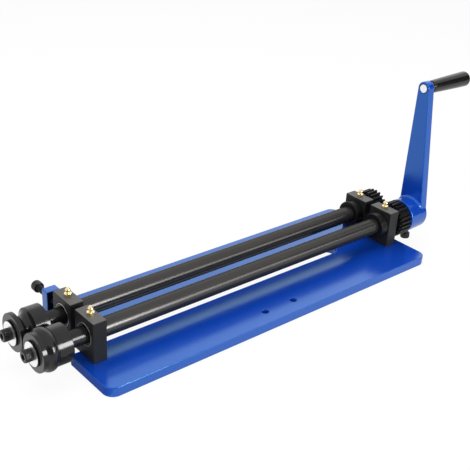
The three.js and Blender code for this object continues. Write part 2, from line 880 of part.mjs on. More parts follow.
// The adjusting screw lies along Y, with its nose's shoulder on the block's back at 0
function adjustingScrew() {
  const radius = adjusterDiameter / 2;
  const headFoot = bracketClearance + bracketThickness + adjusterExposedThread;
  const headRadius = adjusterHeadDiameter / 2;
  const headEnd = headFoot + adjusterHeadLength;
  const body = turned([
    [0, -adjusterNoseLength],
    [adjusterNoseDiameter / 2, -adjusterNoseLength],
    [adjusterNoseDiameter / 2, endGap],
    [radius, endGap],
    [radius, headFoot],
    [headRadius, headFoot],
    [headRadius, headEnd - shaftChamfer],
    [headRadius - shaftChamfer, headEnd],
    [0, headEnd],
  ], undefined, roundFacets);
  const socketFoot = headEnd - adjusterSocketDepth;
  return body.subtract(hexPrism(adjusterSocketAcross, socketFoot, headEnd + overrun, alongY));
}

// Clamp screw and washer of the sliding block, and the pivot screw of the rear block
function clampScrew() {
  const length = plateThickness + blockScrewReach - clampScrewHeadLength - endGap;
  return socketScrew(
    clampScrewDiameter,
    clampScrewHeadDiameter,
    clampScrewHeadLength,
    length,
    clampScrewSocketAcross,
    clampScrewSocketDepth,
  ).translate([0, 0, clampScrewHeadLength]);
}

function clampWasher() {
  const bore = clampScrewDiameter / 2 + seatGap;
  const thickness = clampWasherThickness - seatGap;
  return ring(bore, clampWasherDiameter / 2, 0, thickness, seatGap, turnedAboutZ, smallFacets);
}

function placed(mesh, x, y, z) {
  mesh.position.set(x, y, z);
  return mesh;
}

// Assembly
const beadRoller = new THREE.Group();

beadRoller.add(piece('frame_plate', framePlate(), 'bluePaint'));
beadRoller.add(placed(
  piece('adjuster_bracket', adjusterBracket(), 'bluePaint'),
  frontBlockMiddle,
  bracketY,
  plateThickness,
));

const blockPlaces = [
  ['lower_front', lowerFrontBlock(), frontBlockMiddle, lowerY, plateThickness],
  ['lower_rear', lowerRearBlock(), rearBlockMiddle, lowerY, plateThickness],
  ['upper_front', upperFrontBlock(), frontBlockMiddle, upperY, plateThickness],
  ['upper_rear', upperRearBlock(), rearBlockMiddle, upperY, plateThickness],
];
for (const [place, body, x, y, z] of blockPlaces) {
  beadRoller.add(placed(piece(`${place}_block`, body, 'blackBlock'), x, y, z));
  beadRoller.add(placed(piece(`${place}_bush`, bush(), 'darkSteel'), x, y, z + shaftHeight));
  const nipple = piece(`${place}_grease_nipple`, greaseNipple(), 'brass');
  beadRoller.add(placed(nipple, x, y, z + blockHeight));
}

for (const [name, [x, y]] of Object.entries(lowerScrewPlaces)) {
  const body = flushScrew(
    blockScrewDiameter,
    blockScrewHeadDiameter,
    plateThickness + blockScrewReach - endGap,
    blockScrewSocketAcross,
    blockScrewSocketDepth,
  );
  beadRoller.add(placed(piece(name, body, 'blackOxide'), x, y, seatGap));
}

const pivotScrew = flushScrew(
  pivotScrewDiameter,
  pivotScrewHeadDiameter,
  plateThickness + blockScrewReach - endGap,
  pivotScrewSocketAcross,
  pivotScrewSocketDepth,
);
beadRoller.add(placed(
  piece('upper_rear_pivot_screw', pivotScrew, 'blackOxide'),
  rearBlockMiddle,
  upperY,
  seatGap,
));
beadRoller.add(placed(
  piece('upper_front_clamp_screw', clampScrew(), 'blackOxide'),
  frontBlockMiddle,
  clampScrewY,
  endGap / 2,
));
beadRoller.add(placed(
  piece('upper_front_clamp_washer', clampWasher(), 'zinc'),
  frontBlockMiddle,
  clampScrewY,
  clampScrewHeadLength + endGap / 2 + seatGap,
));

// Both shafts carry the same pieces; the upper gear turns a gap towards the lower one's tooth
const upperGearTurn = Math.PI + Math.PI / gearTeeth;
const shaftSets = [
  ['lower', lowerShaft(), lowerDie(), lowerY, 0],
  ['upper', upperShaft(), upperDie(), upperY, upperGearTurn],
];
for (const [side, shaftBody, dieBody, y, gearTurn] of shaftSets) {
  const line = new THREE.Group();
  line.position.set(0, y, axisHeight);
  line.add(piece(`${side}_shaft`, shaftBody, 'darkSteel'));
  line.add(placed(piece(`${side}_die`, dieBody, 'darkSteel'), dieFrontX, 0, 0));
  line.add(placed(piece(`${side}_die_key`, key(dieKeyLength), 'darkSteel'), dieKeyX, 0, seatRadius));
  line.add(placed(piece(`${side}_die_washer`, dieWasher(), 'zinc'), dieFrontX - seatGap, 0, 0));
  const screwX = dieFrontX - dieWasherThickness - seatGap * 2;
  line.add(placed(piece(`${side}_die_screw`, dieScrew(), 'blackOxide'), screwX, 0, 0));
  const collarX = rearBlockX - endGap;
  line.add(placed(piece(`${side}_shaft_collar`, collar(), 'blackBlock'), collarX, 0, 0));
  const grubX = collarX - collarLength / 2;
  const grubZ = -bodyRadius - seatGap;
  line.add(placed(piece(`${side}_collar_grub_screw`, grubScrew(), 'blackOxide'), grubX, 0, grubZ));
  line.add(placed(piece(`${side}_gear`, gear(gearTurn), 'blackOxide'), gearX, 0, 0));
  const gearKey = piece(`${side}_gear_key`, key(gearKeyLength), 'darkSteel');
  line.add(placed(gearKey, gearKeyX, 0, journalRadius));
  if (side === 'upper') {
    line.add(placed(piece('upper_gear_circlip', circlip(), 'blackOxide'), circlipX, 0, 0));
  }
  beadRoller.add(line);
}

beadRoller.add(placed(
  piece('adjusting_screw', adjustingScrew(), 'blackOxide'),
  frontBlockMiddle,
  upperY + blockWidth / 2,
  plateThickness + shaftHeight,
));

const crank = new THREE.Group();
crank.position.set(crankArmX, lowerY, axisHeight);
crank.rotation.x = (-crankLean * Math.PI) / 180;
crank.add(piece('crank_arm', crankArm(), 'bluePaint'));
crank.add(placed(piece('crank_set_screw', crankSetScrew(), 'blackOxide'), -crankScrewSetback, 0, 0));
crank.add(placed(piece('handle_spindle', handleSpindle(), 'zinc'), 0, 0, crankRadius));
crank.add(placed(piece('handle_grip', grip(), 'blackGrip'), gripX, 0, crankRadius));
beadRoller.add(crank);

export default beadRoller;
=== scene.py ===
"""Hand cranked bead roller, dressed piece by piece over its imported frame. Metres, +Z up."""
import json
import math

import bmesh
import bpy
import numpy as np
from mathutils import Matrix, Vector
from mathutils.geometry import tessellate_polygon


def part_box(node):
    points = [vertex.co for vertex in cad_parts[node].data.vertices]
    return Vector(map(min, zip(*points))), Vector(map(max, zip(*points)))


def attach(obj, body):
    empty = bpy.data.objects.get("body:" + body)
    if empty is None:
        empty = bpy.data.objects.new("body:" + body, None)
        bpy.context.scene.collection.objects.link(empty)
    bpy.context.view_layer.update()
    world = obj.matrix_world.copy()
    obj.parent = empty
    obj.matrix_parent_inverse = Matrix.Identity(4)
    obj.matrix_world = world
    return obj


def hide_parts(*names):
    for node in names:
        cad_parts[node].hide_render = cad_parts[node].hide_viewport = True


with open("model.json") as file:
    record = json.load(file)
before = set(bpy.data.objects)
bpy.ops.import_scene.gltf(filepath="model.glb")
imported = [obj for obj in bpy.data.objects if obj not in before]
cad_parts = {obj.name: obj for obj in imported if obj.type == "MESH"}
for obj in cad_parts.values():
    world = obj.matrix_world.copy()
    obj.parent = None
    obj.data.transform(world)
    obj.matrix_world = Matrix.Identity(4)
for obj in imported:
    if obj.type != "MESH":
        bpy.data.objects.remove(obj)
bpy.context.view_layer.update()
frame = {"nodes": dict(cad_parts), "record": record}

# Viewpoint. The camera stands to the left and in front of the plate, a little above it, with
# a long lens and a slight roll. Its place was solved from the plate's outline and the shafts.
view_place = Vector((-0.645284, -0.630587, 0.566523))
view_heading = math.radians(-41.91)
view_drop = math.radians(27.20)
view_roll = math.radians(-3.661)
picture_width = 470
focal_pixels = 872.31

forward = Vector((
    -math.sin(view_heading) * math.cos(view_drop),
    math.cos(view_heading) * math.cos(view_drop),
    -math.sin(view_drop),
))
level_right = forward.cross(Vector((0, 0, 1))).normalized()
right = Matrix.Rotation(view_roll, 3, forward) @ level_right
up = right.cross(forward)
camera = bpy.data.objects.new("camera", bpy.data.cameras.new("camera"))
camera.data.sensor_width = 36
camera.data.lens = focal_pixels / picture_width * camera.data.sensor_width
camera.data.clip_end = 20
axes = Matrix((right, up, -forward)).transposed().to_4x4()
camera.matrix_world = Matrix.Translation(view_place) @ axes
bpy.context.scene.collection.objects.link(camera)
bpy.context.scene.camera = camera
bpy.context.scene.view_settings.view_transform = "Standard"


# Studio. A white table under a white sky, lit by a large soft box above and two fills. Three
# boxes seen only in gloss draw the long highlights on the shafts and dies and the sheen on the
# tops. Three cards, seen only in gloss too, darken the grip, the dies and the plate's end; the
# last lies on the table by the plate's end as a painted shadow of the dies, seen in reflection.
class Wire:
    """A node's output socket; arithmetic on it adds Math nodes to the same tree."""

    def __init__(self, finish, socket):
        self.finish = finish
        self.socket = socket

    def _math(self, operation, other):
        return self.finish.node("ShaderNodeMath", {"operation": operation}, {0: self, 1: other})

    def __add__(self, other):
        return self._math("ADD", other)

    __radd__ = __add__

    def __mul__(self, other):
        return self._math("MULTIPLY", other)

    __rmul__ = __mul__


class Finish:
    """A material, or the world, whose nodes are added one call at a time."""

    def __init__(self, owner, output="ShaderNodeOutputMaterial"):
        self.owner = owner
        owner.use_nodes = True
        self.tree = owner.node_tree
        self.tree.nodes.clear()
        self.output = self.tree.nodes.new(output)

    def node(self, kind, settings=None, inputs=None, result=0):
        """Add a node: settings first, then values or wires into its sockets."""
        made = self.tree.nodes.new(kind)
        for key, value in (settings or {}).items():
            setattr(made, key, value)
        for key, value in (inputs or {}).items():
            if isinstance(value, Wire):
                self.tree.links.new(value.socket, made.inputs[key])
            else:
                made.inputs[key].default_value = value
        return Wire(self, made.outputs[result])

    def surface(self, wire):
        self.tree.links.new(wire.socket, self.output.inputs["Surface"])
        return self.owner

    def seen(self):
        """1 for rays of the camera, of gloss and through glass, and 0 for those of soft light."""
        camera, gloss, glass = [
            self.node("ShaderNodeLightPath", result=f"Is {kind} Ray")
            for kind in ("Camera", "Glossy", "Transmission")]
        return camera + gloss + glass

    def where(self, stretch=(1, 1, 1), centre=(0, 0, 0)):
        """Object coordinates, stretched per axis about a centre."""
        place = self.node("ShaderNodeTexCoord", result=3)
        moved = self.node("ShaderNodeVectorMath", {"operation": "SUBTRACT"}, {0: place, 1: centre})
        return self.node("ShaderNodeVectorMath", {"operation": "MULTIPLY"}, {0: moved, 1: stretch})

    def along(self, axis):
        """One of the Object coordinates, as a number."""
        return self.node("ShaderNodeSeparateXYZ", None, {0: self.where()}, result=axis)

    def noise(self, scale, detail=2.0, stretch=(1, 1, 1), rough=0.5, at=None):
        values = {"Vector": self.where(stretch) if at is None else at,
                  "Scale": scale, "Detail": detail, "Roughness": rough}
        return self.node("ShaderNodeTexNoise", None, values)

    def blend(self, factor, first, second):
        values = {0: factor, 6: (*first, 1) if isinstance(first, tuple) else first,
                  7: (*second, 1) if isinstance(second, tuple) else second}
        return self.node("ShaderNodeMix", {"data_type": "RGBA"}, values, result=2)

    def step(self, value, low, high):
        """A ramp from 0 at low to 1 at high."""
        return self.node("ShaderNodeMapRange", {"clamp": True}, {"Value": value, 1: low, 2: high})

    def bump(self, height, depth, under=None):
        values = {"Height": height, "Distance": depth, "Strength": 1.0}
        if under is not None:
            values["Normal"] = under
        return self.node("ShaderNodeBump", None, values)

    def coated(self, values):
        return self.surface(self.node("ShaderNodeBsdfPrincipled", None, values))


sky_fill = 0.3
sky = Finish(bpy.data.worlds.new("sky"), "ShaderNodeOutputWorld")
bpy.context.scene.world = sky.owner
strength = sky_fill + sky.seen() * (1 - sky_fill)
sky.surface(sky.node("ShaderNodeBackground", None, {"Color": (1, 1, 1, 1), "Strength": strength}))


def panel(name, corners):
    """A flat panel between four corners."""
    mesh = bpy.data.meshes.new(name)
    mesh.from_pydata(corners, [], [(0, 1, 2, 3)])
    made = bpy.data.objects.new(name, mesh)
    bpy.context.scene.collection.objects.link(made)
    return made


def level_panel(name, left, right, near, far, height):
    """A panel that lies level, its sides along X and Y."""
    return panel(name, [(left, near, height), (right, near, height),
                        (right, far, height), (left, far, height)])


table_half = 12.0
table_height = -0.0003
paper_grey = (0.45, 0.45, 0.45, 1)
table_glow = 1.12
glow_share = 0.82
table = level_panel("table", -table_half, table_half, -table_half, table_half, table_height)
white = Finish(bpy.data.materials.new("white_table"))
paper = white.node("ShaderNodeBsdfDiffuse", None, {"Color": paper_grey})
glow = white.node("ShaderNodeEmission", None, {"Color": (1, 1, 1, 1), "Strength": table_glow})
table.data.materials.append(white.surface(
    white.node("ShaderNodeMixShader", None, {0: white.seen() * glow_share, 1: paper, 2: glow})))


def soft_box(name, place, aim, size, watts, lights):
    """A rectangular area light at a place, turned towards another. It lights the surfaces, or
    is only seen in their gloss."""
    lamp = bpy.data.lights.new(name, "AREA")
    lamp.shape = "RECTANGLE"
    lamp.size, lamp.size_y = size
    lamp.energy = watts
    holder = bpy.data.objects.new(name, lamp)
    turn = (Vector(aim) - Vector(place)).to_track_quat("-Z", "Y")
    holder.matrix_world = Matrix.Translation(place) @ turn.to_matrix().to_4x4()
    bpy.context.scene.collection.objects.link(holder)
    holder.visible_glossy = not lights
    holder.visible_diffuse = lights


machine = (0.0, 0.05, 0.05)
die_end = (-0.25, 0.05, 0.05)
soft_box("overhead_box", (0.10, 0.55, 1.7), machine, (2.2, 1.4), watts=28, lights=True)
soft_box("left_fill", (-1.9, -0.5, 0.7), machine, (1.2, 1.2), watts=20, lights=True)
soft_box("front_fill", (0.3, -1.9, 0.6), machine, (1.4, 1.0), watts=31, lights=True)
soft_box("low_box", (0.36, -1.35, 0.52), die_end, (0.42, 0.60), watts=20, lights=False)
soft_box("long_box", (1.10, -1.38, 0.58), machine, (0.80, 0.45), watts=4.5, lights=False)
soft_box("rear_box", (1.74, 1.93, 1.50), machine, (2.8, 1.6), watts=7.5, lights=False)


def gloss_card(card, shade, fades=()):
    """Paint a panel one shade of grey and show it only as a reflection in glossy surfaces.
    Each fade is an axis and two places along it, where the card is white and where it is grey."""
    card.visible_camera = card.visible_diffuse = card.visible_shadow = False
    felt = Finish(bpy.data.materials.new(card.name + "_felt"))
    level = 1.0
    for axis, at_white, at_grey in fades:
        level = felt.step(felt.along(axis), at_white, at_grey) * level
    colour = felt.blend(level, (1.0, 1.0, 1.0), (shade, shade, shade))
    card.data.materials.append(felt.surface(
        felt.node("ShaderNodeEmission", None, {"Color": colour, "Strength": 1.0})))


def upright_panel(name, start, end, low, high):
    """A panel that stands upright over the line from one place to another."""
    return panel(name, [(*start, low), (*end, low), (*end, high), (*start, high)])


gloss_card(upright_panel("black_card", (1.9, -1.9), (2.9, -0.5), -0.3, 1.9), 0.003)
gloss_card(upright_panel("camera_card", (-2.4, -1.3), (0.0, -2.4), 0.0, 1.7), 0.01)
# Painted shadow: a grey card on the table by the plate's end, seen only in gloss, stands for the
# shadow of the dies there.
card_left, card_right, card_near, card_far, card_height = -0.31, -0.2562, -0.06, 0.15, -0.0001
die_shadow_card = level_panel("die_shadow_card", card_left, card_right, card_near, card_far, card_height)
gloss_card(die_shadow_card, 0.20, [(0, card_left, -0.268), (1, card_near, -0.01), (1, card_far, 0.09)])


# Frame plate: flame cut steel plate with rounded corners and a long throat, open at the die
# end, sprayed in gloss blue. Its two stand holes go through, and the recesses for the screws
# that hold the bearing blocks are cut from below.
plate_low, plate_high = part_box("frame_plate")
plate_corner = 0.013
plate_edge = 0.0008
plate_steps = 16
throat_half = 0.012
throat_end = 0.166
throat_steps = 32
mouth_corner = 0.003
mouth_steps = 8
stand_hole_radius = 0.0045
stand_hole_offset = 0.023
stand_hole_edge = 0.0004
block_screw_radius = 0.003
block_screw_head = 0.006
pivot_screw_radius = 0.0051
pivot_screw_head = 0.0091
countersink_lip = 0.0007
clamp_slot_half = 0.00415
clamp_recess_half = 0.00815
clamp_recess_depth = 0.0063
clamp_travel = 0.0046
clamp_shift = 0.0007
clamp_steps = 24
throat_middle = (plate_low.y + plate_high.y) / 2
sharp_bend = math.radians(50)
same_place = 1e-7
riders = {node: body for body, group in frame["record"]["behaviour"]["bodies"].items()
          for node in group}


def middle(node):
    """The middle of a CAD node's box."""
    low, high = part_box(node)
    return (low + high) / 2


def arc(centre, radius, start, stop, steps):
    """Points on a circle's arc, from one angle in degrees to another, as an N by 2 array."""
    angle = np.radians(np.linspace(start, stop, steps + 1))
    return np.stack([centre[0] + radius * np.cos(angle), centre[1] + radius * np.sin(angle)], -1)


def hole(centre, radius, steps=64):
    """A full circle of points, run clockwise, as the edge of a hole."""
    return arc(centre, radius, 0, -360, steps)[:-1]


def drawn_in(path, amount):
    """A closed path moved to its left by an amount, mitred at its corners."""
    ahead = np.roll(path, -1, 0) - path
    ahead = ahead / np.linalg.norm(ahead, axis=1, keepdims=True)
    left = np.stack([-ahead[:, 1], ahead[:, 0]], -1)
    before = np.roll(left, 1, 0)
    reach = 1 + (left * before).sum(1, keepdims=True)
    return path + amount * (left + before) / reach


def wall(low, high, edge, rounds=4):
    """A slab's wall as (inset, height) rows from its top flat to its lower one, with a quarter
    round at each end: inset = edge (1 - sin a), fall = edge (1 - cos a)."""
    quarter = np.linspace(0, np.pi / 2, rounds + 1)
    inset = edge * (1 - np.sin(quarter))
    fall = edge * (1 - np.cos(quarter))
    return np.column_stack([
        np.concatenate([inset, inset[::-1]]), np.concatenate([high - fall, low + fall[::-1]])])


def skin(rings, count, base=0):
    """The quads between rings of points, each ring closed and count points long."""
    ring, step = np.meshgrid(np.arange(rings - 1), np.arange(count), indexing="ij")
    here = base + ring * count + step
    after = base + ring * count + (step + 1) % count
    return np.stack([here, after, after + count, here + count], -1).reshape(-1, 4).tolist()


def slab(loops, order):
    """Places and faces of a flat piece. Each loop is a closed path, the outline first and
    counter-clockwise, then the holes clockwise, with the profile its wall follows from the top
    flat to the lower one. Both flats are cut into triangles between the loops. order says
    which of x, y and z the path's two directions and the height lie along."""
    places, faces, ends, base = [], [], ([], []), 0
    for path, profile in loops:
        count = len(path)
        rings = [np.column_stack([drawn_in(path, inset), np.full(count, height)])
                 for inset, height in profile]
        faces += skin(len(rings), count, base)
        for end, which in zip(ends, (0, len(rings) - 1)):
            end.append((rings[which], base + which * count + np.arange(count)))
        places += rings
        base += count * len(rings)
    for end in ends:
        flat = np.array(tessellate_polygon([[Vector(p) for p in ring] for ring, _ in end]))
        faces += np.concatenate([index for _, index in end])[flat].tolist()
    together = np.concatenate(places)
    spread = np.empty_like(together)
    spread[:, list(order)] = together
    return spread, faces


def finished(shells, finish, *nodes):
    """One piece from its closed shells, smooth shaded by face area but for its sharp bends.
    It rides on the body of the CAD nodes that it stands for and hides them."""
    mesh = bpy.data.meshes.new(nodes[0] + "_finished")
    starts = np.cumsum([0] + [len(places) for places, _ in shells])
    places = np.concatenate([places for places, _ in shells])
    faces = [[corner + start for corner in face]
             for (_, own), start in zip(shells, starts.tolist()) for face in own]
    mesh.from_pydata(places.tolist(), [], faces)
    shape = bmesh.new()
    shape.from_mesh(mesh)
    bmesh.ops.remove_doubles(shape, verts=shape.verts, dist=same_place)
    bmesh.ops.recalc_face_normals(shape, faces=shape.faces)
    shape.to_mesh(mesh)
    shape.free()
    mesh.polygons.foreach_set("use_smooth", np.ones(len(mesh.polygons), bool))
    mesh.set_sharp_from_angle(angle=sharp_bend)
    mesh.materials.append(finish)
    made = bpy.data.objects.new(mesh.name, mesh)
    bpy.context.scene.collection.objects.link(made)
    shading = made.modifiers.new("shading", "WEIGHTED_NORMAL")
    shading.weight = 100
    shading.keep_sharp = True
    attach(made, riders[nodes[0]])
    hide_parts(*nodes)
    return made


def blue_enamel(name, shaded_face_y=None):
    """Sprayed gloss enamel with a blue lustre: deep blue, faintly mottled, fine orange peel.
    A face square to Y may be painted near black: painted shade from a part close in front of it."""
    deep, bright, face_shade_colour = (0.003, 0.042, 0.35), (0.004, 0.051, 0.4), (0.0024, 0.0038, 0.026)
    blue_gloss = (0.29, 0.74, 1.0, 1)
    paint = Finish(bpy.data.materials.new(name))
    colour = paint.blend(paint.noise(9.0, 3.0), deep, bright)
    # Painted shade: the given face square to Y is painted near black, for the shade of the part
    # close in front of it.
    if shaded_face_y is not None:
        unshaded = paint.step(paint.along(1), shaded_face_y + 0.0003, shaded_face_y + 0.0006)
        colour = paint.blend(unshaded, face_shade_colour, colour)
    peel = paint.bump(paint.noise(420.0, 1.0), 0.00002)
    grit = paint.bump(paint.noise(2300.0, 2.0), 0.000004, peel)
    return paint.coated({"Base Color": colour, "Roughness": paint.noise(60.0) * 0.05 + 0.165,
                         "Normal": grit, "IOR": 1.95, "Specular Tint": blue_gloss})


def countersunk(centre, shank, head):
    """The hole for a flush screw, its shank's radius above and its head's at the underside."""
    lip = countersink_lip
    spread = head - shank
    return hole(centre, shank), [(0, plate_high.z), (0, lip + spread), (spread, lip), (spread, 0)]


blue = blue_enamel("blue_enamel")
right_x, left_x = plate_high.x, plate_low.x
far_y, near_y = plate_high.y, plate_low.y
outline = np.concatenate([
    arc((right_x - plate_corner, near_y + plate_corner), plate_corner, -90, 0, plate_steps),
    arc((right_x - plate_corner, far_y - plate_corner), plate_corner, 0, 90, plate_steps),
    arc((left_x + plate_corner, far_y - plate_corner), plate_corner, 90, 180, plate_steps),
    arc((left_x + mouth_corner, throat_middle + throat_half + mouth_corner),
        mouth_corner, 180, 270, mouth_steps),
    arc((throat_end - throat_half, throat_middle), throat_half, 90, -90, throat_steps),
    arc((left_x + mouth_corner, throat_middle - throat_half - mouth_corner),
        mouth_corner, 90, 180, mouth_steps),
    arc((left_x + plate_corner, near_y + plate_corner), plate_corner, 180, 270, plate_steps),
])
clamp = middle("upper_front_clamp_screw")
slot_y = clamp.y + clamp_shift
clamp_slot = np.concatenate([
    arc((clamp.x, slot_y - clamp_travel / 2), clamp_slot_half, 0, -180, clamp_steps),
    arc((clamp.x, slot_y + clamp_travel / 2), clamp_slot_half, 180, 0, clamp_steps),
])
recess = clamp_recess_half - clamp_slot_half
clamp_wall = [
    (0, plate_high.z), (0, clamp_recess_depth), (recess, clamp_recess_depth), (recess, 0)]
loops = [(outline, wall(plate_low.z, plate_high.z, plate_edge))]
stand_wall = wall(plate_low.z, plate_high.z, stand_hole_edge)
for side in (-1, 1):
    loops.append((hole((side * stand_hole_offset, 0), stand_hole_radius), stand_wall))
lower_screws = [
    f"lower_{end}_block_screw_{number}" for end in ("front", "rear") for number in (1, 2)]
for node in lower_screws:
    loops.append(countersunk(middle(node).xy, block_screw_radius, block_screw_head))
loops.append(
    countersunk(middle("upper_rear_pivot_screw").xy, pivot_screw_radius, pivot_screw_head))
loops.append((clamp_slot, clamp_wall))
finished([slab(loops, (0, 1, 2))], blue, "frame_plate")

# Adjuster bracket: a short upright of the same plate, welded to the frame behind the far front
# block and painted with it, with a plain hole for the adjusting screw. The face towards the block
# is painted near black, a painted shade of the block that stands close in front of it.
bracket_low, bracket_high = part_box("adjuster_bracket")
bracket_edge = 0.0012
bracket_hole_radius = 0.0045
bracket_hole_edge = 0.0003
bracket_corner = 0.0014
shaft_height = middle("lower_front_bush").z


def softened(points, size, steps=3):
    """An open profile with its inner corners rounded: each corner P becomes the curve
    (1-t)^2 A + 2t(1-t) P + t^2 B, with A and B a size away along its two sides."""
    points = np.asarray(points, float)
    before, corner, after = points[:-2], points[1:-1], points[2:]
    back, ahead = before - corner, after - corner
    back_length = np.linalg.norm(back, axis=1, keepdims=True)
    ahead_length = np.linalg.norm(ahead, axis=1, keepdims=True)
    reach = np.minimum(size, 0.45 * np.minimum(back_length, ahead_length))
    first = (corner + back / back_length * reach)[:, None]
    last = (corner + ahead / ahead_length * reach)[:, None]
    t = np.linspace(0, 1, steps + 1)[None, :, None]
    curve = (1 - t) ** 2 * first + 2 * t * (1 - t) * corner[:, None] + t ** 2 * last
    return np.concatenate([points[:1], curve.reshape(-1, 2), points[-1:]])


def eased(low, high, size):
    """A rectangle between two corners, counter-clockwise, its own corners rounded."""
    corners = [(high[0], low[1]), (high[0], high[1]), (low[0], high[1]), (low[0], low[1])]
    return softened([corners[-1], *corners, corners[0]], size, 5)[1:-1]


bracket_x = (bracket_low.x + bracket_high.x) / 2
bracket_loops = [
    (eased(bracket_low.xz, bracket_high.xz, bracket_corner),
     wall(bracket_low.y, bracket_high.y, bracket_edge)),
    (hole((bracket_x, shaft_height), bracket_hole_radius),
     wall(bracket_low.y, bracket_high.y, bracket_hole_edge)),
]
# The face towards the far front block is painted near black: painted shade of that block.
bracket_blue = blue_enamel("bracket_blue", bracket_low.y)
finished([slab(bracket_loops, (0, 2, 1))], bracket_blue, "adjuster_bracket")

# Bearing blocks: four sawn and milled steel blocks, painted or oxidised a matt, fine grained
# black, each bored for its shaft's bush. The near ones are screwed down, the far ones move.
block_edge = 0.0008
block_corner = 0.001
block_bore = 0.01375
block_bore_edge = 0.0004
round_steps = 96


def block_black(top):
    """Matt black with a fine cast grain, paler in random spots. The whole top is painted far
    paler, a painted sheen of the light that falls on it from above.
    """
    coat = Finish(bpy.data.materials.new("block_black"))
    grain = coat.noise(900.0, 4.0, rough=0.65)
    cloud = coat.noise(70.0, 3.0)
    mottle = grain * 0.6 + cloud * 0.4
    side = coat.blend(mottle, (0.008, 0.0078, 0.0076), (0.020, 0.0195, 0.019))
    # Painted sheen: the whole top face is painted far paler than the sides, for the light it
    # catches from above.
    painted_top_sheen = coat.blend(mottle, (0.08, 0.078, 0.077), (0.12, 0.117, 0.115))
    at_top = coat.step(coat.along(2), top - 0.0004, top - 0.0001)
    colour = coat.blend(at_top, side, painted_top_sheen)
    return coat.coated({"Base Color": colour, "Roughness": cloud * 0.12 + 0.38,
                        "Normal": coat.bump(grain, 0.00003), "Specular IOR Level": 0.18})


matt_black = block_black(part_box("lower_front_block")[1].z)
places = ("lower_front", "lower_rear", "upper_front", "upper_rear")
for place in places:
    low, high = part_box(place + "_block")
    bore_centre = middle(place + "_bush")
    loops = [
        (eased(low.yz, high.yz, block_corner), wall(low.x, high.x, block_edge)),
        (hole((bore_centre.y, bore_centre.z), block_bore, round_steps),
         wall(low.x, high.x, block_bore_edge)),
    ]
    finished([slab(loops, (1, 2, 0))], matt_black, place + "_block")

# Bushes: dark sintered steel sleeves pressed into the blocks. A thin bright metal ring painted
# round the outer edge of each end is a painted highlight of the rim.
bush_bore = 0.01015
bush_radius = 0.01365
bush_edge = 0.0003
bush_highlight_width = 0.0004


def spun(radii, along, axis, centre, lead=0.0):
    """Places and faces of a surface round an axis: ring k passes through radius radii[k, j]
    at angle lead + 2 pi j / N, all of it at along[k] on the axis."""
    radii = np.asarray(radii, float)
    count = radii.shape[1]
    angle = lead + 2 * np.pi * np.arange(count) / count
    shape = np.zeros((*radii.shape, 3))
    shape[..., axis] = np.asarray(along, float)[:, None]
    shape[..., (axis + 1) % 3] = radii * np.cos(angle)
    shape[..., (axis + 2) % 3] = radii * np.sin(angle)
    return (shape + np.asarray(centre)).reshape(-1, 3), skin(len(radii), count)


def turned(profile, axis, centre, count=round_steps):
    """A lathe shape: the profile's (radius, along) rows, spun round the axis."""
    profile = np.asarray(profile, float)
    return spun(np.repeat(profile[:, :1], count, 1), profile[:, 1], axis, centre)


def ring_profile(inner, outer, low, high, edge):
    """A ring's closed profile with softened corners, begun in the middle of its bore."""
    half = (low + high) / 2
    return softened([(inner, half), (inner, low), (outer, low), (outer, high), (inner, high),
                     (inner, half)], edge)


def plain_ring(node, inner, outer, edge, axis=0):
    """A ring in the place of a CAD node, and as long as it is along the axis."""
    low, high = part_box(node)
    centre = middle(node)
    profile = ring_profile(inner, outer, low[axis] - centre[axis], high[axis] - centre[axis], edge)
    return turned(profile, axis, centre)


def radius_from(coat, centre, axis):
    """How far a point lies from an axis through a centre, as a wire."""
    stretch = tuple(0.0 if k == axis else 1.0 for k in range(3))
    across = coat.where(stretch, tuple(centre))
    return coat.node("ShaderNodeVectorMath", {"operation": "LENGTH"}, {0: across}, result=1)


def rimmed(name, centre, inner, inside, outside, roughness):
    """Turned metal whose face changes colour at a radius from an axis along X."""
    metal = Finish(bpy.data.materials.new(name))
    far = radius_from(metal, centre, 0)
    rim = metal.step(far, inner - 0.00008, inner + 0.00008)
    line = metal.node("ShaderNodeCombineXYZ", None, {0: far, 1: 0.0, 2: 0.0})
    marks = metal.noise(9000.0, 2.0, at=line)
    colour = metal.blend(rim, inside, outside)
    return metal.coated({"Base Color": colour, "Metallic": 1.0,
                         "Normal": metal.bump(marks, 0.000012),
                         "Roughness": marks * 0.12 + roughness})


# Painted highlight: a thin bright metal ring at the outer edge of each bush's end stands for the
# glint on its rim.
bush_dark, bush_rim_highlight = (0.012, 0.012, 0.012), (0.72, 0.72, 0.70)
for place in places:
    node = place + "_bush"
    finish = rimmed(
        node + "_metal", middle(node), bush_radius - bush_highlight_width, bush_dark, bush_rim_highlight, 0.25)
    finished([plain_ring(node, bush_bore, bush_radius, bush_edge)], finish, node)

# Grease nipples: small pale brass fittings screwed into the tops of the blocks, each with a
# hexagon, a waist and a rounded head that holds a spring loaded ball.
nipple_across = 0.008
nipple_hex_height = 0.0036
nipple_neck = 0.0022
nipple_neck_height = 0.0018
nipple_head = 0.0033
nipple_head_height = 0.0052
nipple_tip = 0.0015
nipple_ball = 0.0009
nipple_turn = 0.35


def hexagon(across, count):
    """Polar radius of a hexagon: half its width across flats over the cosine of the angle
    from the middle of the nearest side."""
    angle = 2 * np.pi * np.arange(count) / count
    return across / 2 / np.cos(np.mod(angle, np.pi / 3) - np.pi / 6)


def pale_brass():
    """Yellow plated brass with a soft turned lustre."""
    metal = Finish(bpy.data.materials.new("pale_brass"))
    tarnish = metal.noise(500.0, 3.0)
    colour = metal.blend(tarnish, (0.83, 0.66, 0.33), (0.93, 0.82, 0.55))
    return metal.coated({"Base Color": colour, "Metallic": 1.0, "Roughness": tarnish * 0.12 + 0.16,
                         "Normal": metal.bump(metal.noise(2600.0, 2.0), 0.00001)})


